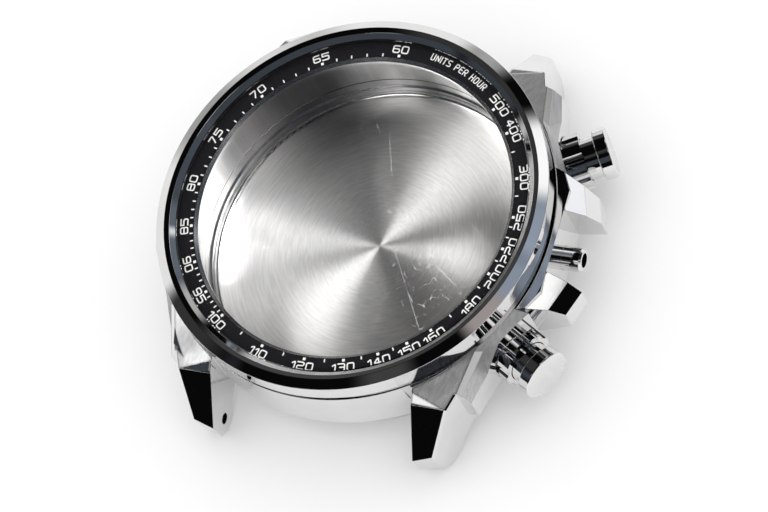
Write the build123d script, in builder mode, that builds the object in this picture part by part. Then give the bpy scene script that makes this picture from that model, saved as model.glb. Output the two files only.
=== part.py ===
from build123d import *
from math import acos, cos, degrees, radians, sin, sqrt
import os

os.makedirs("parts", exist_ok=True)

# Empty chronograph watch case, in millimetres.
# Origin at the centre of the case back's outer face, +Z to the crystal, +X to 3 o'clock, +Y to 12.

# Clearances and small edges shared by the whole case
screwed_fit = 0.02
running_fit = 0.07
stem_fit = 0.05
end_gap = 0.05
overrun = 1.0

# Case back
back_flange_t = 1.6
back_flange_w = 0.7
back_edge_h = 0.3
back_slope_in = 0.75
back_floor_t = 1.8
back_rim_gap = 0.25
back_rim_wall = 0.6
back_wall_h = 1.2
back_step_w = 0.2
back_floor_fillet = 0.5
notch_count = 6
notch_w = 2.6
notch_depth = 0.9
notch_h = 0.8

# Middle case, turned features
cavity_r = 18.0
thread_wall = 0.6
seam_gap = 0.12
ledge_w = 0.8
ledge_drop = 0.8
neck_wall = 0.75
neck_h = 1.4
deck_w = 1.15
body_h = 8.4
flank_h = 5.6
under_taper = 1.4
back_gasket_w = 0.4
back_gasket_t = 0.48

# Horns, the four lugs that hold the strap
lug_gap = 22.0
lug_root_y = 12.0
lug_reach = 8.0
lug_wall_azimuth = 21.3
lug_wall_in = 0.06
lug_top_azimuth = 65.8
lug_top_elevation = 72.96
lug_top_in = 2.55
lug_facet_elevation = 42.3
lug_tip_y = 23.2
lug_tip_z = 3.85
lug_tip_azimuth = 75.4
lug_tip_elevation = -5.8
lug_roll_azimuth = 88.0
lug_roll_elevation = 58.2
lug_roll_y = 17.93
lug_roll_z = 9.17
lug_edge = 0.1
lug_nose_y = 22.8
lug_nose_z = 1.1
lug_toe_y = 21.3
lug_toe_z = 0.25
lug_heel_y = 20.3
lug_heel_z = 0.35
lug_shin_y = 18.8
lug_shin_z = 1.5
lug_calf_y = 17.5
lug_root_z = 2.2
lug_under_radius = 1.1
lug_joint_gap = 1.5
spring_bar_hole_d = 1.2
spring_bar_hole_depth = 1.3
spring_bar_y = 21.26
spring_bar_z = 2.03

# Side blocks between the lugs, with their polished band and hollow-ground flank
block_h = 6.1
block_wall_azimuth = 16.6
block_wall_out = 0.1
block_end_y = 17.3
pusher_azimuth = 28.9
pusher_flat_out = 0.8
crown_flat_out = 0.75
bulge_out = 1.2
bulge_bevel_in = 1.0
bulge_bevel_h = 0.62
lens_azimuth = 19.4
lens_elevation = 21.6
lens_in = 0.59
band_azimuth = 25.2
band_elevation = 40.4
band_in = 0.37
shoulder_out = 0.19
shoulder_run = 1.31
shoulder_fall = 2.2

# Crown guards
crown_gap = 6.8
guard_azimuth = 20.0
guard_near_azimuth = 97.6
guard_far_azimuth = 71.8
guard_pusher_gap = 0.29
guard_apex_out = 0.75
guard_apex_fall = 0.1
guard_fold_out = 2.6
guard_fold_fall = 1.4
guard_tip_out = 3.7
guard_tip_fall = 3.05
guard_h = 5.5
guard_width = 9.0

# Crown tube
crown_drop_share = 0.4762
crown_tube_r = 1.25
crown_tube_wall = 0.5
crown_tube_out = 2.05
crown_tube_chamfer = 0.2

# Pushers, measured along their own axes
pusher_drop_share = 0.5512
pusher_travel = 0.9
tube_in = 0.15
tube_wall = 0.9
tube_out = 1.5
stem_r = 0.6
stem_in_head = 0.9
stem_tail = 0.6
seal_w = 0.4
seal_t = 0.45
spring_bore_wall = 0.4
spring_seat_in = 1.3
spring_wire_r = 0.1
spring_side_gap = 0.12
spring_turns = 6
skirt_wall = 0.59
collar_h = 1.9
collar_back_t = 0.5
collar_wall = 0.63
collar_flutes = 8
collar_flute_r = 0.62
collar_flute_depth = 0.26
neck_gap = 1.35
head_over = 0.48
head_h = 1.35
head_floor = 0.35
head_dome = 0.12
head_edge = 0.16
clip_r = 1.0
clip_t = 0.25
clip_gap = 0.15
clip_groove_depth = 0.16
clip_mouth = 0.7

# Bezel
bezel_foot_w = 0.73
bezel_over = 0.05
bezel_groove_h = 0.6
bezel_cap_h = 1.2
bezel_slope_h = 0.43
bezel_rim_w = 0.52
bezel_rim_fall = 0.15
bezel_lip_w = 0.51
bezel_lip_fall = 0.44
bezel_lip_gap = 0.05
bezel_edge = 0.08

# Crystal, its gasket and the printed ring
crystal_t = 1.02
crystal_edge = 0.1
crystal_inset = 0.12
crystal_gasket_wall = 0.26
crystal_gasket_h = 0.73
ring_fit = 0.05
ring_drop = 0.1
ring_w = 2.15
ring_lip_w = 0.35
ring_lip_h = 0.3

# Heights of the stack
underside_z = back_flange_t
deck_z = underside_z + body_h
flank_z = deck_z - flank_h
block_z = deck_z - block_h
neck_z = deck_z + neck_h
ledge_z = neck_z - ledge_drop
crown_z = deck_z - crown_drop_share * body_h
pusher_z = deck_z - pusher_drop_share * body_h
back_rim_z = crown_z - crown_tube_r - back_rim_gap
cavity_z = back_rim_z + seam_gap

# Radii of the stack
thread_r = cavity_r + thread_wall
neck_inner_r = cavity_r + ledge_w
neck_outer_r = neck_inner_r + neck_wall
case_r = neck_outer_r + deck_w
under_r = case_r - under_taper
back_rim_r = thread_r - screwed_fit
back_bore_r = back_rim_r - back_rim_wall
back_flange_r = back_rim_r + back_flange_w
back_gasket_inner_r = thread_r + screwed_fit
bezel_bore_r = neck_outer_r + screwed_fit
bezel_foot_r = bezel_bore_r + bezel_foot_w
bezel_r = case_r + bezel_over
crystal_r = neck_inner_r - crystal_inset
crystal_gasket_inner_r = crystal_r + screwed_fit
crystal_gasket_outer_r = crystal_gasket_inner_r + crystal_gasket_wall
gasket_seat_r = crystal_gasket_outer_r + screwed_fit
ring_outer_r = neck_inner_r - ring_fit
ring_inner_r = ring_outer_r - ring_w
ring_z = neck_z - ring_drop

# Places along a pusher's axis
pusher_flat_s = case_r + pusher_flat_out
collar_well_s = pusher_flat_s + collar_back_t
collar_front_s = pusher_flat_s + collar_h
skirt_s = collar_well_s + end_gap + pusher_travel
head_back_s = collar_front_s + neck_gap
head_front_s = head_back_s + head_h
well_top_s = head_back_s - head_floor
tube_end_s = pusher_flat_s + tube_out
tube_start_s = thread_r + tube_in
spring_seat_s = pusher_flat_s - spring_seat_in
clip_front_s = cavity_r - clip_gap
clip_back_s = clip_front_s - clip_t
stem_end_s = clip_back_s - stem_tail
stem_top_s = well_top_s + stem_in_head

# Radii about a pusher's axis
tube_bore_r = stem_r + stem_fit
tube_r = tube_bore_r + tube_wall
spring_bore_r = tube_r - spring_bore_wall
spring_r = spring_bore_r - spring_side_gap - spring_wire_r
seal_bore_r = tube_bore_r + seal_w
skirt_bore_r = tube_r + running_fit
skirt_r = skirt_bore_r + skirt_wall
collar_bore_r = skirt_r + running_fit
collar_r = collar_bore_r + collar_wall
head_r = skirt_r + head_over
clip_seat_r = stem_r - clip_groove_depth

quarter_turn = 90.0
half_turn = 180.0


def facing(azimuth, elevation=0):
    """Unit direction from its compass angle and its rise."""
    level = cos(radians(elevation))
    return Vector(level * cos(radians(azimuth)), level * sin(radians(azimuth)), sin(radians(elevation)))


def out(azimuth, distance, height=0):
    """Point at a distance from the case axis."""
    return Vector(distance * cos(radians(azimuth)), distance * sin(radians(azimuth)), height)


def slope(point, azimuth, elevation=0):
    """Plane through a point that faces outwards."""
    return Plane(origin=point, z_dir=facing(azimuth, elevation))


def meet(first, second):
    """Plan point where two wall lines cross, each given by azimuth and distance."""
    a, b = radians(first[0]), radians(second[0])
    p, q = first[1], second[1]
    return ((p * sin(b) - q * sin(a)) / sin(b - a), (q * cos(a) - p * cos(b)) / sin(b - a))


# Lines and planes that shape the sides
crown_flat = (0, case_r + crown_flat_out)
pusher_flat = (pusher_azimuth, pusher_flat_s)
block_wall = (block_wall_azimuth, case_r + block_wall_out)
block_end = (quarter_turn, block_end_y)
bulge_r = case_r + bulge_out
lug_face_x = lug_gap / 2
lug_joint_y = sqrt(case_r**2 - lug_face_x**2) + lug_joint_gap
lug_tip = Vector(lug_face_x, lug_tip_y, lug_tip_z)
lug_top_plane = slope(out(lug_top_azimuth, case_r - lug_top_in, deck_z), lug_top_azimuth, lug_top_elevation)
lug_facet_plane = slope(lug_tip, quarter_turn, lug_facet_elevation)
lug_roll_plane = slope((lug_face_x, lug_roll_y, lug_roll_z), lug_roll_azimuth, lug_roll_elevation)
lug_tip_plane = slope(lug_tip, lug_tip_azimuth, lug_tip_elevation)
lug_wall_plane = slope(out(lug_wall_azimuth, case_r - lug_wall_in), lug_wall_azimuth)
lens_plane = slope(out(lens_azimuth, case_r - lens_in, deck_z), lens_azimuth, lens_elevation)
band_plane = slope(out(band_azimuth, case_r - band_in, deck_z), band_azimuth, band_elevation)
guard_near_plane = slope((crown_flat[1], crown_gap / 2, 0), guard_near_azimuth)
guard_far_point = out(pusher_azimuth, pusher_flat_s) - facing(pusher_azimuth + quarter_turn) * (
    collar_r + guard_pusher_gap
)
guard_far_plane = slope(guard_far_point, guard_far_azimuth)

# One lug, at the upper right
with BuildPart() as lug:
    with BuildSketch(Plane.YZ.offset(lug_face_x)) as lug_side:
        with BuildLine():
            Polyline(
                (lug_root_y, deck_z),
                (lug_tip_y + overrun, deck_z),
                (lug_tip_y + overrun, lug_nose_z),
                (lug_nose_y, lug_nose_z),
                (lug_toe_y, lug_toe_z),
                (lug_heel_y, lug_heel_z),
                (lug_shin_y, lug_shin_z),
                (lug_calf_y, lug_root_z),
                (lug_root_y, lug_root_z),
                close=True,
            )
        make_face()
        fillet(lug_side.vertices().sort_by(Axis.Y)[:2], radius=lug_under_radius)
    extrude(amount=lug_reach)
    split(bisect_by=lug_wall_plane, keep=Keep.BOTTOM)
    split(bisect_by=lug_tip_plane, keep=Keep.BOTTOM)
    split(bisect_by=lug_facet_plane, keep=Keep.BOTTOM)
    split(bisect_by=lug_top_plane, keep=Keep.BOTTOM)
    split(bisect_by=lug_roll_plane, keep=Keep.BOTTOM)
    for flank_plane in (lug_top_plane, lug_roll_plane, lug_facet_plane):
        bevel = (flank_plane.z_dir + lug_wall_plane.z_dir).normalized()
        edge_line = flank_plane.intersect(lug_wall_plane)
        split(bisect_by=Plane(origin=edge_line.position - bevel * lug_edge, z_dir=bevel), keep=Keep.BOTTOM)

# Tool that cuts the polished band and the ground flank beside the lug
with BuildPart() as side_cut:
    for side_plane in (lens_plane, band_plane):
        with BuildSketch(side_plane):
            Rectangle(4 * case_r, 4 * case_r)
        extrude(amount=case_r)
    with BuildSketch(Plane.XZ):
        with BuildLine():
            Polyline(
                (0, -case_r),
                (case_r + shoulder_out + shoulder_run / shoulder_fall * (deck_z + case_r), -case_r),
                (case_r + shoulder_out, deck_z),
                (case_r + shoulder_out, 2 * case_r),
                (0, 2 * case_r),
                close=True,
            )
        make_face()
    revolve(axis=Axis.Z, mode=Mode.SUBTRACT)
    split(bisect_by=guard_far_plane, keep=Keep.TOP)

# Upper right quarter of the side, without the guard
with BuildPart() as right_quarter:
    with BuildSketch(Plane.XY.offset(block_z)):
        with BuildLine():
            Polyline(
                (0, 0),
                (crown_flat[1], 0),
                meet(crown_flat, pusher_flat),
                meet(pusher_flat, block_wall),
                meet(block_wall, block_end),
                (0, block_end_y),
                close=True,
            )
        make_face()
    extrude(amount=block_h)
    split(bisect_by=lug_top_plane, keep=Keep.BOTTOM)
    add(lug.part)
    add(side_cut.part, mode=Mode.SUBTRACT)

# The same quarter as the far side has it, swelling outwards where the crown side is flat
swell = degrees(acos(pusher_flat_s / bulge_r))
with BuildPart() as plain_quarter:
    with BuildSketch(Plane.XY.offset(block_z)):
        with BuildLine():
            CenterArc((0, 0), bulge_r, 0, pusher_azimuth - swell)
            Polyline(
                out(pusher_azimuth - swell, bulge_r),
                meet(pusher_flat, block_wall),
                meet(block_wall, block_end),
                (0, block_end_y),
                (0, 0),
                (bulge_r, 0),
            )
        make_face()
    extrude(amount=block_h)
    split(bisect_by=lug_top_plane, keep=Keep.BOTTOM)
    add(lug.part)
    add(side_cut.part, mode=Mode.SUBTRACT)
    with BuildSketch(Plane.XZ):
        with BuildLine():
            Polyline(
                (bulge_r - bulge_bevel_in, deck_z),
                (bulge_r + overrun, deck_z - bulge_bevel_h * (bulge_bevel_in + overrun) / bulge_bevel_in),
                (bulge_r + overrun, deck_z + overrun),
                (bulge_r - bulge_bevel_in, deck_z + overrun),
                close=True,
            )
        make_face()
    revolve(axis=Axis.Z, mode=Mode.SUBTRACT)

# Upper crown guard
with BuildPart() as guard:
    with BuildSketch(Plane(origin=(0, 0, 0), x_dir=facing(guard_azimuth), z_dir=facing(guard_azimuth - quarter_turn))):
        with BuildLine():
            Polyline(
                (thread_r, deck_z),
                (case_r, deck_z),
                (case_r + guard_apex_out, deck_z - guard_apex_fall),
                (case_r + guard_fold_out, deck_z - guard_fold_fall),
                (case_r + guard_tip_out, deck_z - guard_tip_fall),
                (case_r + guard_tip_out, deck_z - guard_h),
                (thread_r, deck_z - guard_h),
                close=True,
            )
        make_face()
    extrude(amount=guard_width, both=True)
    split(bisect_by=guard_near_plane, keep=Keep.TOP)
    split(bisect_by=guard_far_plane, keep=Keep.BOTTOM)

# Turned body, sides, lugs and guards in one piece
with BuildPart() as whole_case:
    with BuildSketch(Plane.XZ):
        with BuildLine():
            Polyline(
                (0, underside_z),
                (under_r, underside_z),
                (case_r, flank_z),
                (case_r, deck_z),
                (neck_outer_r, deck_z),
                (neck_outer_r, neck_z),
                (0, neck_z),
                close=True,
            )
        make_face()
    revolve(axis=Axis.Z)
    add(right_quarter.part)
    add(guard.part)
    add(mirror(plain_quarter.part, about=Plane.YZ, mode=Mode.PRIVATE))
    add(mirror(right_quarter.part, about=Plane.XZ, mode=Mode.PRIVATE))
    add(mirror(guard.part, about=Plane.XZ, mode=Mode.PRIVATE))
    add(plain_quarter.part.rotate(Axis.Z, half_turn))
    with BuildSketch(Plane.XZ):
        with BuildLine():
            Polyline(
                (0, -overrun),
                (thread_r, -overrun),
                (thread_r, cavity_z),
                (cavity_r, cavity_z),
                (cavity_r, ledge_z),
                (neck_inner_r, ledge_z),
                (neck_inner_r, neck_z + overrun),
                (0, neck_z + overrun),
                close=True,
            )
        make_face()
    revolve(axis=Axis.Z, mode=Mode.SUBTRACT)
    with BuildSketch(Plane.XY.offset(underside_z)):
        Circle(back_gasket_inner_r + back_gasket_w + screwed_fit)
    extrude(amount=back_gasket_t + screwed_fit, mode=Mode.SUBTRACT)
    with BuildSketch(Plane.YZ.offset(cavity_r - overrun)):
        with Locations((0, crown_z)):
            Circle(crown_tube_r + screwed_fit)
    extrude(amount=crown_flat_out + 4 * overrun, mode=Mode.SUBTRACT)
    for side in (pusher_azimuth, -pusher_azimuth):
        with BuildSketch(Plane(origin=out(side, cavity_r - overrun, pusher_z), z_dir=facing(side))):
            Circle(tube_bore_r)
        extrude(amount=pusher_flat_s - cavity_r + 2 * overrun, mode=Mode.SUBTRACT)
        with BuildSketch(Plane(origin=out(side, tube_start_s, pusher_z), z_dir=facing(side))):
            Circle(tube_r + screwed_fit)
        extrude(amount=pusher_flat_s - tube_start_s + overrun, mode=Mode.SUBTRACT)
        with BuildSketch(Plane(origin=out(side, pusher_flat_s, pusher_z), z_dir=facing(side))):
            Circle(collar_r + guard_pusher_gap / 2)
        extrude(amount=head_front_s - pusher_flat_s, mode=Mode.SUBTRACT)
    for face_x, depth in ((lug_face_x, spring_bar_hole_depth), (-lug_face_x, -spring_bar_hole_depth)):
        with BuildSketch(Plane.YZ.offset(face_x)):
            with Locations((spring_bar_y, spring_bar_z), (-spring_bar_y, spring_bar_z)):
                Circle(spring_bar_hole_d / 2)
        extrude(amount=depth, mode=Mode.SUBTRACT)

# Ends of the four lugs, each cut square past the round body
lug_corners = {"upper_right": (1, 1), "upper_left": (-1, 1), "lower_right": (1, -1), "lower_left": (-1, -1)}
lug_end_places = {
    corner: (x_way * (lug_face_x + lug_reach / 2), y_way * (lug_joint_y + lug_reach / 2))
    for corner, (x_way, y_way) in lug_corners.items()
}
for corner, place in lug_end_places.items():
    with BuildPart() as lug_end:
        add(whole_case.part)
        with BuildSketch():
            with Locations(place):
                Rectangle(lug_reach + 2 * overrun, lug_reach)
        extrude(amount=deck_z, mode=Mode.INTERSECT)
    lug_end.part.label = f"{corner}_lug"
    export_step(lug_end.part, f"parts/{corner}_lug.step")

# Middle case: all but the lugs' ends
with BuildPart() as mid_case:
    add(whole_case.part)
    with BuildSketch():
        with Locations(*lug_end_places.values()):
            Rectangle(lug_reach + 2 * overrun, lug_reach)
    extrude(amount=deck_z, mode=Mode.SUBTRACT)
mid_case.part.label = "mid_case"
export_step(mid_case.part, "parts/mid_case.step")

# Screw-down case back: flange with wrench notches, threaded rim, dished inside
with BuildPart() as caseback:
    with BuildSketch(Plane.XZ) as back_half:
        with BuildLine():
            Polyline(
                (0, 0),
                (back_flange_r - back_slope_in, 0),
                (back_flange_r, back_flange_t - back_edge_h),
                (back_flange_r, back_flange_t),
                (back_rim_r, back_flange_t),
                (back_rim_r, back_rim_z),
                (back_bore_r, back_rim_z),
                (back_bore_r, back_rim_z - back_wall_h),
                (back_bore_r - back_step_w, back_rim_z - back_wall_h - back_step_w),
                (back_bore_r - back_step_w, back_floor_t),
                (0, back_floor_t),
                close=True,
            )
        make_face()
        fillet(back_half.vertices().group_by(Axis.Y)[3].sort_by(Axis.X)[-1:], radius=back_floor_fillet)
    revolve(axis=Axis.Z)
    with BuildSketch(Plane.XY):
        with PolarLocations(back_flange_r, notch_count):
            Rectangle(2 * notch_depth, notch_w)
    extrude(amount=notch_h, mode=Mode.SUBTRACT)
caseback.part.label = "caseback"
export_step(caseback.part, "parts/caseback.step")

# Flat gasket between the case back and the middle case
with BuildPart() as caseback_gasket:
    with BuildSketch(Plane.XY.offset(underside_z)):
        Circle(back_gasket_inner_r + back_gasket_w)
        Circle(back_gasket_inner_r, mode=Mode.SUBTRACT)
    extrude(amount=back_gasket_t)
caseback_gasket.part.label = "caseback_gasket"
export_step(caseback_gasket.part, "parts/caseback_gasket.step")

# Bezel: foot on the deck, hollow groove, sloped edge, narrow flat rim and rising inner bevel
bezel_edge_z = neck_z + bezel_cap_h
bezel_top_z = bezel_edge_z + bezel_slope_h
bezel_lip_r = crystal_r + bezel_lip_gap
bezel_rim_in_r = bezel_lip_r + bezel_lip_w
bezel_rim_out_r = bezel_rim_in_r + bezel_rim_w
bezel_rim_in_z = bezel_top_z - bezel_rim_fall
bezel_lip_z = bezel_rim_in_z - bezel_lip_fall
gasket_top_z = neck_z + crystal_gasket_h
with BuildPart() as bezel:
    with BuildSketch(Plane.XZ) as bezel_half:
        with BuildLine():
            Polyline(
                (bezel_bore_r, deck_z),
                (bezel_foot_r, deck_z),
                (bezel_foot_r, deck_z + bezel_groove_h),
                (bezel_r, deck_z + bezel_groove_h),
                (bezel_r, bezel_edge_z),
                (bezel_rim_out_r, bezel_top_z),
                (bezel_rim_in_r, bezel_rim_in_z),
                (bezel_lip_r, bezel_lip_z),
                (bezel_lip_r, gasket_top_z + screwed_fit),
                (gasket_seat_r, gasket_top_z + screwed_fit),
                (gasket_seat_r, neck_z),
                (bezel_bore_r, neck_z),
                close=True,
            )
        make_face()
        crisp = bezel_half.vertices().sort_by(Axis.Y)[-3:] + bezel_half.vertices().sort_by(Axis.X)[-2:]
        fillet(crisp, radius=bezel_edge)
    revolve(axis=Axis.Z)
bezel.part.label = "bezel"
export_step(bezel.part, "parts/bezel.step")

# Flat crystal
with BuildPart() as crystal:
    with BuildSketch(Plane.XY.offset(neck_z)):
        Circle(crystal_r)
    extrude(amount=crystal_t)
    chamfer(crystal.edges().sort_by(Axis.Z)[-1], length=crystal_edge)
crystal.part.label = "crystal"
export_step(crystal.part, "parts/crystal.step")

# Crystal gasket on the neck, under the bezel's lip
with BuildPart() as crystal_gasket:
    with BuildSketch(Plane.XY.offset(neck_z)):
        Circle(crystal_gasket_outer_r)
        Circle(crystal_gasket_inner_r, mode=Mode.SUBTRACT)
    extrude(amount=crystal_gasket_h)
crystal_gasket.part.label = "crystal_gasket"
export_step(crystal_gasket.part, "parts/crystal_gasket.step")

# Printed ring on the ledge, with a bare chamfered lip
with BuildPart() as tachymeter_ring:
    with BuildSketch(Plane.XZ) as ring_half:
        with BuildLine():
            Polyline(
                (ring_inner_r, ledge_z),
                (ring_outer_r, ledge_z),
                (ring_outer_r, ring_z),
                (ring_inner_r + ring_lip_w, ring_z),
                (ring_inner_r, ring_z - ring_lip_h),
                close=True,
            )
        make_face()
    revolve(axis=Axis.Z)
tachymeter_ring.part.label = "tachymeter_ring"
export_step(tachymeter_ring.part, "parts/tachymeter_ring.step")

# Crown tube, screwed into the case at 3 o'clock
crown_tube_bore_r = crown_tube_r - crown_tube_wall
crown_tube_start = cavity_r + end_gap
crown_tube_end = crown_flat[1] + crown_tube_out
with BuildPart() as crown_tube:
    with BuildSketch(Plane.YZ.offset(crown_tube_start)):
        with Locations((0, crown_z)):
            Circle(crown_tube_r)
            Circle(crown_tube_bore_r, mode=Mode.SUBTRACT)
    extrude(amount=crown_tube_end - crown_tube_start)
    chamfer(crown_tube.edges().group_by(Axis.X)[-1].sort_by(SortBy.RADIUS)[-1], length=crown_tube_chamfer)
crown_tube.part.label = "crown_tube"
export_step(crown_tube.part, "parts/crown_tube.step")

for side_name, side in (("upper", pusher_azimuth), ("lower", -pusher_azimuth)):
    along = Plane(origin=(0, 0, pusher_z), x_dir=Axis.Z.direction, z_dir=facing(side))
    lengthwise = Plane(origin=(0, 0, pusher_z), x_dir=facing(side), z_dir=facing(side - quarter_turn))
    pusher_axis = Axis((0, 0, pusher_z), facing(side))

    # Tube pressed into the case, with the spring's seat outside and the seal's seat inside
    with BuildPart() as pusher_tube:
        with BuildSketch(along.offset(tube_start_s)):
            Circle(tube_r)
            Circle(tube_bore_r, mode=Mode.SUBTRACT)
        extrude(amount=tube_end_s - tube_start_s)
        with BuildSketch(along.offset(spring_seat_s)):
            Circle(spring_bore_r)
        extrude(amount=tube_end_s - spring_seat_s, mode=Mode.SUBTRACT)
        with BuildSketch(along.offset(tube_start_s)):
            Circle(seal_bore_r)
        extrude(amount=seal_t + end_gap, mode=Mode.SUBTRACT)
    pusher_tube.part.label = f"{side_name}_pusher_tube"
    export_step(pusher_tube.part, f"parts/{side_name}_pusher_tube.step")

    # Seal round the stem
    with BuildPart() as pusher_o_ring:
        with BuildSketch(along.offset(tube_start_s + end_gap / 2)):
            Circle(seal_bore_r - screwed_fit)
            Circle(tube_bore_r - screwed_fit, mode=Mode.SUBTRACT)
        extrude(amount=seal_t)
    pusher_o_ring.part.label = f"{side_name}_pusher_o_ring"
    export_step(pusher_o_ring.part, f"parts/{side_name}_pusher_o_ring.step")

    # Fluted collar against the flat of the case
    with BuildPart() as pusher_collar:
        with BuildSketch(along.offset(pusher_flat_s)) as petals:
            Circle(collar_r)
            Circle(tube_r + screwed_fit, mode=Mode.SUBTRACT)
            with PolarLocations(collar_r - collar_flute_depth + collar_flute_r, collar_flutes,
                                start_angle=half_turn / collar_flutes):
                Circle(collar_flute_r, mode=Mode.SUBTRACT)
        extrude(amount=collar_h)
        with BuildSketch(along.offset(collar_well_s)):
            Circle(collar_bore_r)
        extrude(amount=collar_front_s - collar_well_s, mode=Mode.SUBTRACT)
    pusher_collar.part.label = f"{side_name}_pusher_collar"
    export_step(pusher_collar.part, f"parts/{side_name}_pusher_collar.step")

    # Push button: hollow skirt over the tube and a wider head with a slightly domed face
    with BuildPart() as pusher_button:
        with BuildSketch(lengthwise) as button_half:
            with BuildLine():
                Polyline(
                    (head_front_s, head_r),
                    (head_back_s, head_r),
                    (head_back_s, skirt_r),
                    (skirt_s, skirt_r),
                    (skirt_s, skirt_bore_r),
                    (well_top_s, skirt_bore_r),
                    (well_top_s, stem_r + screwed_fit),
                    (stem_top_s + screwed_fit, stem_r + screwed_fit),
                    (stem_top_s + screwed_fit, 0),
                    (head_front_s + head_dome, 0),
                )
                CenterArc(
                    (head_front_s + head_dome - (head_r**2 + head_dome**2) / (2 * head_dome), 0),
                    (head_r**2 + head_dome**2) / (2 * head_dome),
                    0,
                    degrees(acos(1 - 2 * head_dome**2 / (head_r**2 + head_dome**2))),
                )
            make_face()
            fillet(button_half.vertices().sort_by(Axis.Y)[-2:], radius=head_edge)
        revolve(axis=pusher_axis)
    pusher_button.part.label = f"{side_name}_pusher_button"
    export_step(pusher_button.part, f"parts/{side_name}_pusher_button.step")

    # Stem fixed in the head, grooved for the clip at its inner end
    with BuildPart() as pusher_stem:
        with BuildSketch(along.offset(stem_end_s)):
            Circle(stem_r)
        extrude(amount=stem_top_s - stem_end_s)
        with BuildSketch(along.offset(clip_back_s - screwed_fit)):
            Circle(stem_r + overrun)
            Circle(clip_seat_r, mode=Mode.SUBTRACT)
        extrude(amount=clip_t + 2 * screwed_fit, mode=Mode.SUBTRACT)
    pusher_stem.part.label = f"{side_name}_pusher_stem"
    export_step(pusher_stem.part, f"parts/{side_name}_pusher_stem.step")

    # Open clip that keeps the stem in its tube
    with BuildPart() as pusher_clip:
        with BuildSketch(along.offset(clip_back_s)):
            Circle(clip_r)
            Circle(clip_seat_r + screwed_fit, mode=Mode.SUBTRACT)
            with Locations((-clip_r / 2, 0)):
                Rectangle(clip_r, clip_mouth, mode=Mode.SUBTRACT)
        extrude(amount=clip_t)
    pusher_clip.part.label = f"{side_name}_pusher_clip"
    export_step(pusher_clip.part, f"parts/{side_name}_pusher_clip.step")

    # Return spring between the tube and the head
    coil_start_s = spring_seat_s + spring_wire_r + screwed_fit
    coil_h = well_top_s - spring_wire_r - screwed_fit - coil_start_s
    with BuildPart() as pusher_spring:
        with BuildLine():
            coil = Helix(coil_h / spring_turns, coil_h, spring_r, center=out(side, coil_start_s, pusher_z),
                         direction=facing(side))
        with BuildSketch(Plane(origin=coil @ 0, z_dir=coil % 0)):
            Circle(spring_wire_r)
        sweep(path=coil, is_frenet=True)
    pusher_spring.part.label = f"{side_name}_pusher_spring"
    export_step(pusher_spring.part, f"parts/{side_name}_pusher_spring.step")
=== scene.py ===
from math import cos, pi, radians, sin, tan

import bmesh
import bpy
from mathutils import Matrix, Vector


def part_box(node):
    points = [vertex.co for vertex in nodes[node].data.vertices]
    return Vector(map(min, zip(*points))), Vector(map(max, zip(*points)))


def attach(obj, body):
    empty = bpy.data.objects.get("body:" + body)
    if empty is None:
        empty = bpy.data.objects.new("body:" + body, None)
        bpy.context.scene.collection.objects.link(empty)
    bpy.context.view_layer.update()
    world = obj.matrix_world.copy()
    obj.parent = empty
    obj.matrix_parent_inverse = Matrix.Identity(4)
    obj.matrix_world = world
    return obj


# Dressed watch case. Metres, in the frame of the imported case: +Z to the crystal, +X to 3 o'clock, +Y to 12.
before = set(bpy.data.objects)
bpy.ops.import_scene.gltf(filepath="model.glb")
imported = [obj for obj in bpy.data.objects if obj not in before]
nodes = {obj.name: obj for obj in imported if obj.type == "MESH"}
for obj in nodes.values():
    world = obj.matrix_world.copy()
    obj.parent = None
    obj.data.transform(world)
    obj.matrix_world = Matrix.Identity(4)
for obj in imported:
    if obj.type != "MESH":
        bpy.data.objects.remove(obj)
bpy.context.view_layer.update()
mm = 0.001

# Height of the printed ring's top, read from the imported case
ring_top_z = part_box("tachymeter_ring")[1].z

# Directions that the case's flat faces look in, as compass angle and rise in degrees
lug_top_face = (65.8, 72.96)
flank_face = (19.4, 21.6)
lug_roll_face = (88.0, 58.2)
edge_cone_rise = 31.3
pusher_azimuth = 28.9

# Radii and heights where one finish gives way to the next
cavity_wall_r = 18.72 * mm
cavity_foot_z = 1.76 * mm
bezel_bore_r = 19.55 * mm
underside_z = 1.6 * mm
underside_r = 20.723 * mm
back_floor_z = 2.16 * mm
back_floor_r = 17.8 * mm
ring_print_r = 16.7805 * mm
edge_cone_z = 7.0 * mm
lug_foot_z = 2.0 * mm

# How nearly a face looks a given way: cosines, and the rise of a normal
same_way = 0.998
button_end = 0.985
level_face = 0.9
upright_face = 0.2
crystal_side_face = 0.5
edge_cone_slack = 0.02

# Long scratches on the case back's floor: start, end and half width, in millimetres
HAIRLINES = [
    ((1.8, -0.3), (7.0, -8.6), 0.06),
    ((3.4, -3.2), (1.6, -7.0), 0.05),
    ((5.6, -0.5), (9.8, -3.4), 0.04),
    ((-9.5, 9.0), (-4.0, 11.5), 0.04),
    ((-2.5, 12.0), (-1.0, 8.0), 0.04),
    ((2.0, 10.5), (9.0, 8.5), 0.04),
    ((-12.0, 2.0), (-8.0, 6.0), 0.035),
    ((-6.0, -9.0), (-1.0, -11.5), 0.035),
    ((0.5, 3.5), (3.5, 7.5), 0.04),
    ((9.0, 4.0), (12.5, 1.0), 0.035),
    ((-3.5, 6.5), (-6.5, 3.0), 0.04),
]

# Steel, ink and rubber colours, as the share of light that they send back
steel = (0.80, 0.795, 0.79, 1)
steel_cool = (0.74, 0.755, 0.78, 1)
steel_dull = (0.52, 0.52, 0.525, 1)
gloss_black = (0.014, 0.0135, 0.0155, 1)
ink_white = (0.88, 0.88, 0.87, 1)
seal_black = (0.02, 0.02, 0.021, 1)
glass_tint = (0.985, 0.984, 0.981, 1)
sapphire_ior = 1.77


def facing(azimuth, elevation=0):
    """Unit direction from its compass angle and its rise, in degrees."""
    turn, rise = radians(azimuth), radians(elevation)
    return Vector((cos(rise) * cos(turn), cos(rise) * sin(turn), sin(rise)))


# Node trees, written as calls


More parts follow.
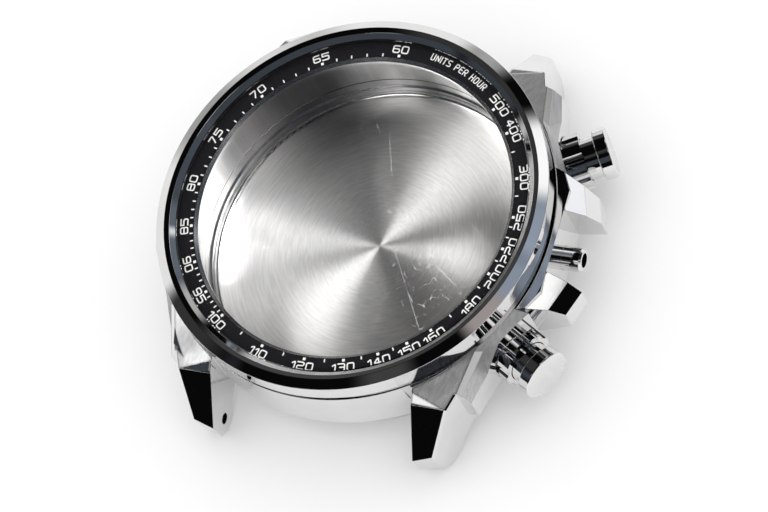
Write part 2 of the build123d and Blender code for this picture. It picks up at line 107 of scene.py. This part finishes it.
class Tree:
    """A material's or the world's nodes, with one short call per kind of node."""

    def __init__(self, owner):
        owner.use_nodes = True
        self.tree = owner.node_tree
        self.nodes = self.tree.nodes

    def link(self, value, socket):
        """Joins a node's output to a socket, or sets the socket to a plain value."""
        if isinstance(value, bpy.types.NodeSocket):
            self.tree.links.new(value, socket)
        else:
            socket.default_value = value

    def node(self, kind, **settings):
        made = self.nodes.new(kind)
        for name, value in settings.items():
            setattr(made, name, value)
        return made

    def math(self, operation, *values):
        made = self.node("ShaderNodeMath", operation=operation)
        for value, socket in zip(values, made.inputs):
            self.link(value, socket)
        return made.outputs[0]

    def vector_math(self, operation, *values, scalar=False):
        made = self.node("ShaderNodeVectorMath", operation=operation)
        for value, socket in zip(values, made.inputs):
            self.link(value, socket)
        return made.outputs["Value" if scalar else "Vector"]

    def split(self, vector):
        made = self.node("ShaderNodeSeparateXYZ")
        self.link(vector, made.inputs[0])
        return made.outputs

    def join(self, x, y, z):
        made = self.node("ShaderNodeCombineXYZ")
        for value, socket in zip((x, y, z), made.inputs):
            self.link(value, socket)
        return made.outputs[0]

    def noise(self, vector, scale, detail=2.0, roughness=0.5):
        made = self.node("ShaderNodeTexNoise")
        self.link(vector, made.inputs["Vector"])
        made.inputs["Scale"].default_value = scale
        made.inputs["Detail"].default_value = detail
        made.inputs["Roughness"].default_value = roughness
        return made.outputs["Fac"]

    def ramp(self, value, low, high, to_low=0.0, to_high=1.0, smooth=True):
        """Maps low..high to to_low..to_high and holds the ends."""
        made = self.node("ShaderNodeMapRange", interpolation_type="SMOOTHSTEP" if smooth else "LINEAR")
        self.link(value, made.inputs["Value"])
        for name, number in (("From Min", low), ("From Max", high), ("To Min", to_low), ("To Max", to_high)):
            made.inputs[name].default_value = number
        return made.outputs["Result"]

    def mix(self, share, first, second):
        """Colour between two colours."""
        made = self.node("ShaderNodeMix", data_type="RGBA")
        self.link(share, made.inputs["Factor"])
        self.link(first, made.inputs["A"])
        self.link(second, made.inputs["B"])
        return made.outputs["Result"]

    def blend(self, share, first, second):
        """Shader between two shaders."""
        made = self.node("ShaderNodeMixShader")
        for value, socket in zip((share, first, second), made.inputs):
            self.link(value, socket)
        return made.outputs[0]

    def bump(self, height, distance, strength=1.0, over=None):
        made = self.node("ShaderNodeBump")
        self.link(height, made.inputs["Height"])
        if over is not None:
            self.link(over, made.inputs["Normal"])
        made.inputs["Distance"].default_value = distance
        made.inputs["Strength"].default_value = strength
        return made.outputs["Normal"]

    def eased(self, radius):
        """Normal that turns smoothly across the edges of the piece, within a distance in metres."""
        made = self.node("ShaderNodeBevel", samples=6)
        made.inputs["Radius"].default_value = radius
        return made.outputs["Normal"]

    def place(self):
        """Point on the object, in metres."""
        return self.node("ShaderNodeTexCoord").outputs["Object"]

    def radius_and_angle(self, point):
        """Distance from the case axis and angle about it."""
        x, y, _ = self.split(point)
        return self.vector_math("LENGTH", self.join(x, y, 0), scalar=True), self.math("ARCTAN2", y, x)


def material(name):
    """A new material's tree and its Principled shader."""
    made = bpy.data.materials.new(name)
    tree = Tree(made)
    return made, tree, tree.nodes["Principled BSDF"]


def metal(name, colour, roughness, anisotropy=0.0):
    made, tree, shader = material(name)
    shader.inputs["Metallic"].default_value = 1.0
    shader.inputs["Anisotropic"].default_value = anisotropy
    smudge = tree.noise(tree.place(), 220.0, detail=3.0)
    tree.link(tree.ramp(smudge, 0.3, 0.7, roughness * 0.75, roughness * 1.25), shader.inputs["Roughness"])
    tint = tree.mix(tree.ramp(smudge, 0.35, 0.65), colour, [0.96 * c for c in colour[:3]] + [1])
    tree.link(tint, shader.inputs["Base Color"])
    return made, tree, shader


def polished(name, colour=steel, roughness=0.045, edge=0.0, marks=0.4e-6):
    """Mirror polish with faint handling marks, and edges eased within a distance."""
    made, tree, shader = metal(name, colour, roughness)
    handled = tree.noise(tree.vector_math("MULTIPLY", tree.place(), (1.0, 1.0, 6.0)), 3500.0, detail=4.0)
    tree.link(tree.bump(handled, marks, over=tree.eased(edge) if edge else None), shader.inputs["Normal"])
    return made


def brushed(name, along, colour=steel_dull, roughness=0.3, depth=2.2e-6, edge=0.0):
    """Straight grain along a direction, with streaks that differ in tone and edges eased within a distance."""
    made, tree, shader = metal(name, colour, roughness, anisotropy=0.75)
    across = along.cross(Vector((0, 0, 1))).normalized()
    point = tree.place()
    run = tree.vector_math("DOT_PRODUCT", point, along, scalar=True)
    side = tree.vector_math("DOT_PRODUCT", point, across, scalar=True)
    height = tree.split(point)[2]
    drawn_out = tree.join(tree.math("MULTIPLY", run, 0.05), side, height)
    grain = tree.noise(drawn_out, 16000.0, detail=5.0, roughness=0.7)
    streak = tree.noise(tree.join(tree.math("MULTIPLY", run, 0.08), side, height), 3000.0, detail=3.0)
    tint = tree.mix(tree.ramp(streak, 0.3, 0.7), colour, [0.82 * c for c in colour[:3]] + [1])
    tree.link(tint, shader.inputs["Base Color"])
    tree.link(tree.bump(grain, depth, over=tree.eased(edge) if edge else None), shader.inputs["Normal"])
    tree.link(tree.join(*across), shader.inputs["Tangent"])
    return made


def turned(name, colour=steel, roughness=0.28, anisotropy=0.9, depth=1.6e-6, scratched=False):
    """Circular brushing about the case axis, whose glare fans out from the centre."""
    made, tree, shader = metal(name, colour, roughness, anisotropy)
    point = tree.place()
    radius, angle = tree.radius_and_angle(point)
    x, y, z = tree.split(point)
    tree.link(tree.vector_math("NORMALIZE", tree.join(x, y, 0)), shader.inputs["Tangent"])
    fine_wind = tree.join(tree.math("MULTIPLY", angle, 0.0007), radius, z)
    broad_wind = tree.join(tree.math("MULTIPLY", angle, 0.0012), radius, 0)
    height = tree.noise(fine_wind, 14000.0, detail=5.0, roughness=0.7)
    broad = tree.noise(broad_wind, 4200.0, detail=5.0, roughness=0.7)
    tint = tree.mix(tree.ramp(broad, 0.3, 0.7), colour, [0.8 * c for c in colour[:3]] + [1])
    if scratched:
        marks = scratches(tree, point)
        tint = tree.mix(tree.math("MULTIPLY", marks, 0.55), tint, (0.95, 0.94, 0.93, 1))
        height = tree.math("SUBTRACT", height, tree.math("MULTIPLY", marks, 3.0))
        wear = tree.ramp(tree.noise(point, 160.0, detail=4.0), 0.42, 0.72, roughness * 0.85, roughness * 1.25)
        tree.link(tree.math("ADD", wear, tree.math("MULTIPLY", marks, 0.15)), shader.inputs["Roughness"])
        tree.link(tree.math("SUBTRACT", 1.0, tree.math("MULTIPLY", marks, 0.2)), shader.inputs["Metallic"])
    tree.link(tint, shader.inputs["Base Color"])
    tree.link(tree.bump(height, depth), shader.inputs["Normal"])
    return made


def hairline(tree, flat, start, end, half_width):
    """Share of one straight scratch between two points, in metres."""
    first, run = Vector((*start, 0)) * mm, Vector((end[0] - start[0], end[1] - start[1], 0)) * mm
    from_first = tree.vector_math("SUBTRACT", flat, first)
    along = tree.vector_math("DOT_PRODUCT", from_first, run / run.length_squared, scalar=True)
    held = tree.ramp(along, 0.0, 1.0, smooth=False)
    nearest = tree.vector_math("MULTIPLY", tree.join(held, held, held), run)
    gap = tree.vector_math("LENGTH", tree.vector_math("SUBTRACT", from_first, nearest), scalar=True)
    return tree.ramp(gap, 0.0, half_width, 1.0, 0.0)


def scratches(tree, point):
    """Share of scratch at a point: long hairlines, and patches of short curled ones."""
    x, y, _ = tree.split(point)
    flat = tree.join(x, y, 0)
    faint = tree.ramp(tree.noise(point, 900.0), 0.35, 0.6, 0.25, 1.0)
    total = None
    for start, end, half_width in HAIRLINES:
        mark = hairline(tree, flat, start, end, half_width * mm)
        total = mark if total is None else tree.math("MAXIMUM", total, mark)
    ridge = tree.math("ABSOLUTE", tree.math("SUBTRACT", tree.noise(point, 520.0, detail=1.0), 0.5))
    curl = tree.ramp(ridge, 0.0, 0.011, 1.0, 0.0)
    patch = tree.ramp(tree.noise(point, 190.0, detail=2.0), 0.54, 0.62)
    broken = tree.ramp(tree.noise(point, 1600.0), 0.45, 0.6)
    curls = tree.math("MULTIPLY", tree.math("MULTIPLY", curl, patch), broken)
    return tree.math("MAXIMUM", tree.math("MULTIPLY", total, faint), curls)


def plain(name, colour, roughness, specular=0.5, grain=900.0, depth=0.0, coat=0.0):
    """Paint, ink or rubber: a tone that drifts a little, with fine grain."""
    made, tree, shader = material(name)
    drift = tree.noise(tree.place(), grain, detail=3.0)
    tree.link(tree.mix(drift, colour, [0.85 * c for c in colour[:3]] + [1]), shader.inputs["Base Color"])
    tree.link(tree.ramp(drift, 0.3, 0.7, roughness * 0.8, roughness * 1.2), shader.inputs["Roughness"])
    shader.inputs["Specular IOR Level"].default_value = specular
    shader.inputs["Coat Weight"].default_value = coat
    if depth:
        tree.link(tree.bump(drift, depth), shader.inputs["Normal"])
    return made


def clear(name, mirrors=True):
    """Flat sapphire: bends what is seen through it, lets light pass, and mirrors more at a slant."""
    made, tree, shader = material(name)
    tree.nodes.remove(shader)
    window = tree.node("ShaderNodeBsdfTransparent")
    window.inputs["Color"].default_value = glass_tint
    through = window.outputs[0]
    if mirrors:
        lens = tree.node("ShaderNodeBsdfRefraction")
        lens.inputs["Color"].default_value = glass_tint
        lens.inputs["Roughness"].default_value = 0.0
        lens.inputs["IOR"].default_value = sapphire_ior
        ray = tree.node("ShaderNodeLightPath").outputs
        seen = tree.math("MAXIMUM", ray["Is Camera Ray"], ray["Is Transmission Ray"])
        through = tree.blend(seen, through, lens.outputs[0])
    shine = tree.node("ShaderNodeBsdfGlossy")
    shine.inputs["Roughness"].default_value = 0.0
    slant = tree.node("ShaderNodeLayerWeight").outputs["Facing"]
    rise, least = (0.96, 0.03) if mirrors else (0.02, 0.0)
    share = tree.math("ADD", tree.math("MULTIPLY", tree.math("POWER", slant, 5.0), rise), least)
    surface = tree.blend(share, through, shine.outputs[0])
    tree.link(surface, tree.nodes["Material Output"].inputs["Surface"])
    return made


def dress(node, *choices):
    """Gives a CAD node its materials. Each has a test of a face's normal and centre; the last takes the rest."""
    mesh = nodes[node].data
    mesh.materials.clear()
    for made, _ in choices:
        mesh.materials.append(made)
    tests = [wanted for _, wanted in choices[:-1]]
    for face in mesh.polygons:
        passed = (i for i, wanted in enumerate(tests) if wanted(face.normal, face.center))
        face.material_index = next(passed, len(tests))


def folded(vector):
    """The same direction in the upper right quarter."""
    return Vector((abs(vector.x), abs(vector.y), vector.z))


def level(point):
    """Distance from the case axis."""
    return Vector((point.x, point.y)).length


# Finishes of the middle case
LUGS = ("upper_right_lug", "upper_left_lug", "lower_right_lug", "lower_left_lug")
case_polish = polished("case_polish", roughness=0.03, edge=0.06 * mm, marks=0.1e-6)
lug_polish = polished("lug_polish", marks=0.1e-6)
along_lug, along_flank = Vector((0.25, 1, 0)).normalized(), Vector((-0.35, 1, 0)).normalized()
lug_grain = brushed("lug_brushed", along_lug, depth=1.1e-6, edge=0.3 * mm)
lug_end_grain = brushed("lug_end_brushed", along_lug, depth=1.1e-6)
roll_polish = polished("lug_roll_polish", roughness=0.06, edge=0.3 * mm, marks=0.1e-6)
flank_grain = brushed("flank_brushed", along_flank, roughness=0.34, depth=1.2e-6)
wall_turned = turned("cavity_turned", roughness=0.2, anisotropy=0.6, depth=0.6e-6)
under_satin = turned("underside_satin", roughness=0.35, anisotropy=0.3, depth=0.8e-6)


def looks(azimuth, rise):
    """Test of a face that looks the given way, in any quarter of the case."""
    return lambda n, c: folded(n).dot(facing(azimuth, rise)) > same_way and c.z > lug_foot_z


dress(
    "mid_case",
    (lug_grain, looks(*lug_top_face)),
    (roll_polish, looks(*lug_roll_face)),
    (flank_grain, looks(*flank_face)),
    (flank_grain, lambda n, c: abs(n.z - facing(0, edge_cone_rise).z) < edge_cone_slack and c.z > edge_cone_z),
    (wall_turned, lambda n, c: level(c) < cavity_wall_r and n.z < level_face and c.z > cavity_foot_z),
    (under_satin, lambda n, c: n.z < -level_face and level(c) < underside_r),
    (case_polish, None),
)
for corner in LUGS:
    dress(
        corner,
        (lug_end_grain, looks(*lug_top_face)),
        (roll_polish, looks(*lug_roll_face)),
        (flank_grain, looks(*flank_face)),
        (lug_polish, None),
    )

# Case back: circular brushing inside, satin outside
floor_turned = turned("back_floor_turned", steel, roughness=0.36, anisotropy=0.93, depth=1.8e-6, scratched=True)
back_rim = turned("back_rim_turned", steel, roughness=0.16, anisotropy=0.6, depth=0.6e-6)
back_satin = turned("back_satin", steel_cool, roughness=0.33, anisotropy=0.5, depth=1.0e-6)
dress(
    "caseback",
    (floor_turned, lambda n, c: n.z > level_face and c.z < back_floor_z and level(c) < back_floor_r),
    (back_satin, lambda n, c: c.z < underside_z),
    (back_rim, None),
)


# Bezel, crystal and printed ring
# Painted shade: the steel bore wall inside the bezel is painted dark in place of its shade, which also hides the
# print's mirror image in it
bore_painted_shade = plain("bezel_bore_painted_shade", gloss_black, 0.4, specular=0.2)
dress(
    "bezel",
    (bore_painted_shade, lambda n, c: abs(n.z) < upright_face and level(c) < bezel_bore_r),
    (polished("bezel_polish", roughness=0.03, marks=0.25e-6), None),
)
dress(
    "crystal",
    (clear("crystal_side", mirrors=False), lambda n, c: abs(n.z) < crystal_side_face),
    (clear("crystal_clear"), None),
)
ring_black = plain("ring_gloss_black", gloss_black, 0.12, specular=0.35, grain=500.0, coat=0.3)
ring_steel = turned("ring_lip_turned", steel, roughness=0.2, anisotropy=0.5, depth=0.5e-6)
dress(
    "tachymeter_ring",
    (ring_black, lambda n, c: n.z > level_face and level(c) > ring_print_r),
    (ring_steel, None),
)

# Crown tube and seals
dress("crown_tube", (polished("tube_polish"), None))
seal_rubber = plain("seal_rubber", seal_black, 0.6, grain=2500.0, depth=4e-6)
for seal in ("crystal_gasket", "caseback_gasket", "upper_pusher_o_ring", "lower_pusher_o_ring"):
    dress(seal, (seal_rubber, None))

# Pushers: polished all over, with satin end faces
pusher_polish = polished("pusher_polish", roughness=0.04)
pusher_satin = metal("pusher_end_satin", steel, 0.3)[0]
collar_polish = polished("collar_polish", roughness=0.05)
stem_turned = polished("stem_turned", steel_dull, 0.18)
clip_steel = polished("clip_spring_steel", steel_dull, 0.25)
coil_steel = polished("coil_drawn_wire", steel_dull, 0.22)
for name, side in (("upper", pusher_azimuth), ("lower", -pusher_azimuth)):
    axis = facing(side)
    dress(
        f"{name}_pusher_button",
        (pusher_satin, lambda n, c, axis=axis: n.dot(axis) > button_end),
        (pusher_polish, None),
    )
    finishes = [("collar", collar_polish), ("tube", collar_polish), ("stem", stem_turned), ("clip", clip_steel)]
    for part, finish in finishes + [("spring", coil_steel)]:
        dress(f"{name}_pusher_{part}", (finish, None))

# Printed scale. A glyph is strokes on a grid one unit wide and high; its first number is its width.
GLYPHS = {
    "0": (1.0, [[(0, 0.5), (0, 0), (1, 0), (1, 1), (0, 1), (0, 0.5)]]),
    "1": (0.42, [[(0, 0.72), (0.42, 1), (0.42, 0)]]),
    "2": (1.0, [[(0, 1), (1, 1), (1, 0.52), (0, 0.48), (0, 0), (1, 0)]]),
    "3": (1.0, [[(0, 1), (1, 1), (1, 0), (0, 0)], [(0.3, 0.5), (1, 0.5)]]),
    "4": (1.0, [[(0.74, 0), (0.74, 1), (0, 0.28), (1, 0.28)]]),
    "5": (1.0, [[(1, 1), (0, 1)], [(0, 1), (0, 0.58)], [(0, 0.58), (1, 0.58), (1, 0), (0, 0)]]),
    "6": (1.0, [[(0.92, 1), (0, 1), (0, 0), (1, 0), (1, 0.54), (0, 0.54)]]),
    "7": (0.95, [[(0, 1), (0.95, 1), (0.3, 0)]]),
    "8": (1.0, [[(0, 0.4), (0, 0), (1, 0), (1, 1), (0, 1), (0, 0.4)], [(0.05, 0.52), (0.95, 0.52)]]),
    "9": (1.0, [[(0.08, 0), (1, 0), (1, 1), (0, 1), (0, 0.46), (1, 0.46)]]),
    "U": (0.9, [[(0, 1), (0, 0), (0.9, 0), (0.9, 1)]]),
    "N": (0.9, [[(0, 0), (0, 1), (0.9, 0), (0.9, 1)]]),
    "I": (0.0, [[(0, 0), (0, 1)]]),
    "T": (0.9, [[(0, 1), (0.9, 1)], [(0.45, 1), (0.45, 0)]]),
    "S": (0.9, [[(0.9, 1), (0, 1), (0, 0.54), (0.9, 0.46), (0.9, 0), (0, 0)]]),
    "P": (0.9, [[(0, 0), (0, 1), (0.9, 1), (0.9, 0.45), (0, 0.45)]]),
    "E": (0.8, [[(0.8, 1), (0, 1), (0, 0), (0.8, 0)], [(0, 0.5), (0.7, 0.5)]]),
    "R": (0.9, [[(0, 0), (0, 1), (0.9, 1), (0.9, 0.45), (0, 0.45)], [(0.4, 0.45), (0.9, 0)]]),
    "H": (0.9, [[(0, 0), (0, 1)], [(0.9, 0), (0.9, 1)], [(0, 0.5), (0.9, 0.5)]]),
    "O": (0.9, [[(0, 0.5), (0, 0), (0.9, 0), (0.9, 1), (0, 1), (0, 0.5)]]),
    " ": (0.45, []),
}
ink_t = 0.008 * mm
ink_lift = 0.004 * mm
ink_rise = 0.0004 * mm
stroke_lift = 0.012 * mm
numeral_r = 17.98 * mm
numeral_h = 0.9 * mm
numeral_w = 0.68 * mm
numeral_stroke = 0.14 * mm
numeral_space = 0.15 * mm
legend_h = 0.78 * mm
legend_w = 0.4 * mm
legend_stroke = 0.11 * mm
legend_space = 0.12 * mm
legend_turn = 23.0
legend_text = "UNITS PER HOUR"
tick_r = 17.22 * mm
tick_l = 0.34 * mm
tick_w = 0.13 * mm
bold_tick = 0.29 * mm
scale_constant = 21600
numerals = [60, 65, 70, 75, 80, 85, 90, 95, 100, 110, 120, 130, 140, 150, 160, 180, 200, 220, 250, 300, 400, 500]
between = [105, 115, 125, 135, 145, 170, 190, 210, 230, 240, 275, 350]
outward_from, outward_to = 250, 76
arc_steps = 4
corner_reach = 0.2


def ribbon(mesh, path, width, to_place, lift=0.0, capped=True):
    """One printed stroke along a path, as a thin closed strip that rises a hair from start to end."""
    clean = [path[0]]
    for point in path[1:]:
        if (point - clean[-1]).length > width * 0.05:
            clean.append(point)
    first, last = (clean[1] - clean[0]).normalized(), (clean[-1] - clean[-2]).normalized()
    if capped and (clean[0] - clean[-1]).length > width:
        clean[0] = clean[0] - first * width / 2
        clean[-1] = clean[-1] + last * width / 2
    runs = [(b - a).normalized() for a, b in zip(clean, clean[1:])]
    rows = []
    for i, point in enumerate(clean):
        before, after = runs[max(i - 1, 0)], runs[min(i, len(runs) - 1)]
        mean = (before + after).normalized()
        side = Vector((-mean.y, mean.x)) * width / 2 / max(mean.dot(after), 0.6)
        high = ink_t + lift + i * ink_rise
        ring = ((point + side, high), (point - side, high), (point - side, 0), (point + side, 0))
        rows.append([mesh.verts.new(to_place(p, z)) for p, z in ring])
    for a, b in zip(rows, rows[1:]):
        for k in range(4):
            mesh.faces.new((a[k], a[(k + 1) % 4], b[(k + 1) % 4], b[k]))
    mesh.faces.new(reversed(rows[0]))
    mesh.faces.new(rows[-1])


def rounded(points, reach):
    """A stroke's points with each inner corner cut to a short arc."""
    path = [points[0]]
    for before, corner, after in zip(points, points[1:], points[2:]):
        back, on = (before - corner), (after - corner)
        start = corner + back.normalized() * min(reach, back.length / 2)
        end = corner + on.normalized() * min(reach, on.length / 2)
        for i in range(arc_steps + 1):
            t = i / arc_steps
            path.append((1 - t) ** 2 * start + 2 * t * (1 - t) * corner + t**2 * end)
    path.append(points[-1])
    return path


def on_ring(base, right, up):
    """Function from a point of the flat print and its lift to its place on the ring."""
    return lambda point, lift: base + right * point.x + up * point.y + Vector((0, 0, lift))


def write(mesh, text, turn, radius, outward, size, stroke, space):
    """Lettering along a circle, centred at a clockwise turn from 12 o'clock."""
    wide, high = size
    widths = [GLYPHS[c][0] * wide for c in text]
    length = sum(widths) + space * (len(text) - 1) + stroke * len(text)
    pen = -length / 2
    for c, width in zip(text, widths):
        middle = pen + (width + stroke) / 2
        swing = middle / radius
        at = radians(90 - turn) - (swing if outward else -swing)
        up = facing(at * 180 / pi) * (1 if outward else -1)
        right = Vector((up.y, -up.x, 0))
        base = facing(at * 180 / pi) * radius + Vector((0, 0, ring_top_z + ink_lift))
        to_place = on_ring(base, right, up)
        for order, line in enumerate(GLYPHS[c][1]):
            points = [Vector((x * wide - width / 2, (y - 0.5) * (high - stroke))) for x, y in line]
            ribbon(mesh, rounded(points, corner_reach * high), stroke, to_place, lift=order * stroke_lift)
        pen += width + stroke + space


def tick(mesh, turn, length, width):
    """One tick across the scale's inner edge."""
    up = facing(90 - turn)
    right = Vector((up.y, -up.x, 0))
    base = up * tick_r + Vector((0, 0, ring_top_z + ink_lift))
    ends = [Vector((0, -length / 2)), Vector((0, length / 2))]
    ribbon(mesh, ends, width, on_ring(base, right, up), capped=False)


def piece_of(name, mesh, finish):
    """A new object from a mesh that is ready, in one material."""
    data = bpy.data.meshes.new(name)
    mesh.to_mesh(data)
    mesh.free()
    data.materials.append(finish)
    piece = bpy.data.objects.new(name, data)
    bpy.context.scene.collection.objects.link(piece)
    return piece


def printed(name, draw):
    """A printed piece on the ring, drawn by a function that adds to a mesh."""
    mesh = bmesh.new()
    draw(mesh)
    piece = piece_of(name, mesh, ink)
    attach(piece, "case")


def draw_numerals(mesh):
    for value in numerals:
        turn = scale_constant / value % 360
        outward = turn > outward_from or turn < outward_to
        write(mesh, str(value), turn, numeral_r, outward, (numeral_w, numeral_h), numeral_stroke, numeral_space)


def draw_ticks(mesh):
    for value in sorted(set(range(60, 100)) | set(between)):
        if value not in numerals:
            tick(mesh, scale_constant / value % 360, tick_l, tick_w)
    for value in numerals:
        tick(mesh, scale_constant / value % 360, bold_tick, bold_tick)


def draw_legend(mesh):
    write(mesh, legend_text, legend_turn, numeral_r, True, (legend_w, legend_h), legend_stroke, legend_space)


ink = plain("ink_white", ink_white, 0.45, grain=3000.0)
printed("scale_numerals", draw_numerals)
printed("scale_ticks", draw_ticks)
printed("scale_legend", draw_legend)

# Floor just under the case, which glows a little so that its far parts stay pale
floor_r = 1.6
floor_z = -0.02 * mm
floor_glow = 0.28
floor_paint, floor_tree, floor_shader = material("floor_white")
floor_tone = floor_tree.noise(floor_tree.place(), 3.0)
floor_tint = floor_tree.mix(floor_tone, (0.5, 0.5, 0.5, 1), (0.49, 0.49, 0.493, 1))
floor_tree.link(floor_tint, floor_shader.inputs["Base Color"])
floor_shader.inputs["Roughness"].default_value = 0.9
floor_shader.inputs["Emission Color"].default_value = (1, 1, 1, 1)
floor_shader.inputs["Emission Strength"].default_value = floor_glow
floor_shader.inputs["Specular IOR Level"].default_value = 0.1
floor_mesh = bmesh.new()
bmesh.ops.create_circle(floor_mesh, cap_ends=True, segments=96, radius=floor_r)
floor = piece_of("floor", floor_mesh, floor_paint)
floor.location.z = floor_z

# Studio light: soft panels, each given by compass angle, rise, strength, tint and softness of its edges in degrees
WHITE, BLUE, PINK = (1.0, 1.0, 1.0), (0.85, 1.0, 1.25), (1.08, 0.97, 0.95)
PANELS = [
    ("left", (154, 183), (2, 29), 0.95, WHITE, 4),
    ("left grey", (140, 154), (2, 23), 0.42, WHITE, 4),
    ("left light", (131, 140), (2, 22), 0.85, WHITE, 4),
    ("left step", (124, 131), (2, 22), 0.68, WHITE, 4),
    ("back", (100, 124), (2, 24), 1.0, WHITE, 4),
    ("back edge", (91, 100), (16, 30), 0.43, WHITE, 4),
    ("right back", (54, 78), (38, 53), 1.2, WHITE, 5),
    ("right blue", (32, 54), (49, 63), 0.37, BLUE, 6),
    ("right top", (8, 32), (57, 71), 0.33, BLUE, 8),
    ("right rose", (-24, 8), (62, 79), 0.36, PINK, 8),
    ("top glow", (-105, -75), (62, 76), 0.055, WHITE, 8),
    ("back dim", (96, 150), (27, 44), 0.06, WHITE, 5),
    ("far dim", (150, 200), (29, 66), 0.035, WHITE, 6),
    ("front blue", (206, 350), (22, 45), 0.055, BLUE, 4),
    ("lip low", (188, 214), (6, 23), 0.05, BLUE, 4),
    ("side blue", (-10, 34), (22, 42), 0.08, BLUE, 5),
    ("side bright", (34, 70), (12, 30), 0.15, BLUE, 5),
    ("side low", (71, 84), (5, 17), 0.5, WHITE, 4),
    ("guard window", (48, 57), (24, 32), 0.95, WHITE, 2),
    ("wall window", (-22, -8), (14, 28), 0.6, WHITE, 3),
    ("flank window", (44, 62), (0, 9), 0.7, WHITE, 3),
    ("tube window", (4, 34), (0, 13), 0.7, WHITE, 4),
    ("right back top", (56, 77), (54, 62), 0.9, WHITE, 3),
    ("wedge window", (237.5, 256), (41.5, 49), 1.05, WHITE, 1.5),
    ("cone window", (-34, -19), (0, 9), 0.8, WHITE, 3),
    ("side top", (-25, 4), (52, 61), 1.1, WHITE, 3),
    ("guard glow", (-10, 8), (45.02, 52), 1.35, WHITE, 0.2),
]
world = bpy.data.worlds.new("studio")
bpy.context.scene.world = world
sky = Tree(world)
look = sky.node("ShaderNodeTexCoord").outputs["Generated"]
rise = sky.math("ARCSINE", sky.split(look)[2])
light = None
for _, (first, last), (low, high), strength, tint, edge in PANELS:
    middle = facing((first + last) / 2)
    beside = facing((first + last) / 2 + 90)
    to_side = sky.vector_math("DOT_PRODUCT", look, beside, scalar=True)
    to_middle = sky.vector_math("DOT_PRODUCT", look, middle, scalar=True)
    swing = sky.math("ARCTAN2", to_side, to_middle)
    half_w, half_h, soft = radians(last - first) / 2, radians(high - low) / 2, radians(edge)
    across = sky.ramp(sky.math("ABSOLUTE", swing), half_w - soft, half_w + soft, 1.0, 0.0)
    off = sky.math("ABSOLUTE", sky.math("SUBTRACT", rise, radians(low + high) / 2))
    up = sky.ramp(off, half_h - soft / 2, half_h + soft / 2, 1.0, 0.0)
    share = sky.math("MULTIPLY", sky.math("MULTIPLY", across, up), strength)
    coloured = sky.vector_math("SCALE", tint)
    sky.link(share, coloured.node.inputs["Scale"])
    light = coloured if light is None else sky.vector_math("ADD", light, coloured)
ground_glow, sky_glow = 0.9, 0.003
ground = sky.ramp(rise, radians(-2), 0.0, ground_glow, sky_glow)
light = sky.vector_math("ADD", light, sky.join(ground, ground, ground))
backdrop = sky.mix(sky.node("ShaderNodeLightPath").outputs["Is Camera Ray"], light, (1, 1, 1, 1))
sky.link(backdrop, sky.nodes["Background"].inputs["Color"])


def add_light(label, kind, energy, place, back=None, lit=()):
    """A light that shines away from a direction, and only on the named pieces where any are named."""
    lamp = bpy.data.objects.new(label, bpy.data.lights.new(label, kind))
    bpy.context.scene.collection.objects.link(lamp)
    lamp.data.energy = energy
    lamp.location = place
    lamp.visible_camera = False
    if back is not None:
        lamp.rotation_euler = back.to_track_quat("Z", "Y").to_euler()
    if lit:
        group = bpy.data.collections.new(label)
        for name in lit:
            group.objects.link(nodes[name])
        lamp.light_linking.receiver_collection = group
    return lamp


# Fill light that lifts the floor and the print, and leaves no mirror image in the steel
fill = add_light("fill", "AREA", 30.0, (0, 0, 0.9))
fill.data.shape = "DISK"
fill.data.size = 2.4
fill.visible_glossy = False

# Lamps for the turned and brushed steel: compass angle, rise, half spread in degrees, strength, what they light
LAMPS = [
    ("right window", (40, 54), 12, 6.2, ("caseback",)),
    ("left window", (-175, 50), 13, 4.2, ("caseback",)),
    ("left lug window", (-173, 50), 9, 1.15, ("mid_case", "lower_left_lug")),
    ("front window", (-104, 45), 12, 1.2, ("caseback",)),
    ("ceiling glow", (136, 59), 16, 0.25, ("caseback",)),
    ("back lug glow", (97, 36), 12, 0.22, ("mid_case",) + LUGS),
    ("top lug glow", (-115, 76), 12, 0.35, ("mid_case",) + LUGS),
]
for label, direction, spread, energy, lit in LAMPS:
    toward = facing(*direction)
    lamp = add_light(label, "AREA", energy, toward, toward, lit)
    lamp.data.shape = "DISK"
    lamp.data.size = 2 * tan(radians(spread))

# Light thrown back onto the floor by the left wall of the cavity
bounce_spot = Vector((-16.5, -4.0, 1.8)) * mm
bounce_back = facing(140, 57)
bounce_reach = 0.4
bounce_place = bounce_spot + bounce_back * bounce_reach
bounce = add_light("wall bounce", "SPOT", 1.0, bounce_place, bounce_back, ("caseback",))
bounce.data.spot_size = radians(3.6)
bounce.data.spot_blend = 1.0
bounce.data.shadow_soft_size = 0.01
bounce.data.use_shadow = False

# Camera at the photograph's angle
camera_azimuth = -43.503
camera_elevation = 58.660
camera_roll = 33.842
camera_place = Vector((155.31, -147.68, 352.12)) * mm
camera_sensor = 36.0
camera_lens = 186.64
camera_data = bpy.data.cameras.new("camera")
camera_data.sensor_width = camera_sensor
camera_data.lens = camera_lens
camera_data.clip_start = 0.01
camera_data.clip_end = 10.0
camera = bpy.data.objects.new("camera", camera_data)
bpy.context.scene.collection.objects.link(camera)
back = facing(camera_azimuth, camera_elevation)
level_right = facing(camera_azimuth + 90)
level_up = back.cross(level_right)
roll = radians(camera_roll)
right = level_right * cos(roll) - level_up * sin(roll)
upward = level_right * sin(roll) + level_up * cos(roll)
camera.matrix_world = Matrix.Translation(camera_place) @ Matrix((right, upward, back)).transposed().to_4x4()
bpy.context.scene.camera = camera
bpy.context.scene.view_settings.view_transform = "Standard"
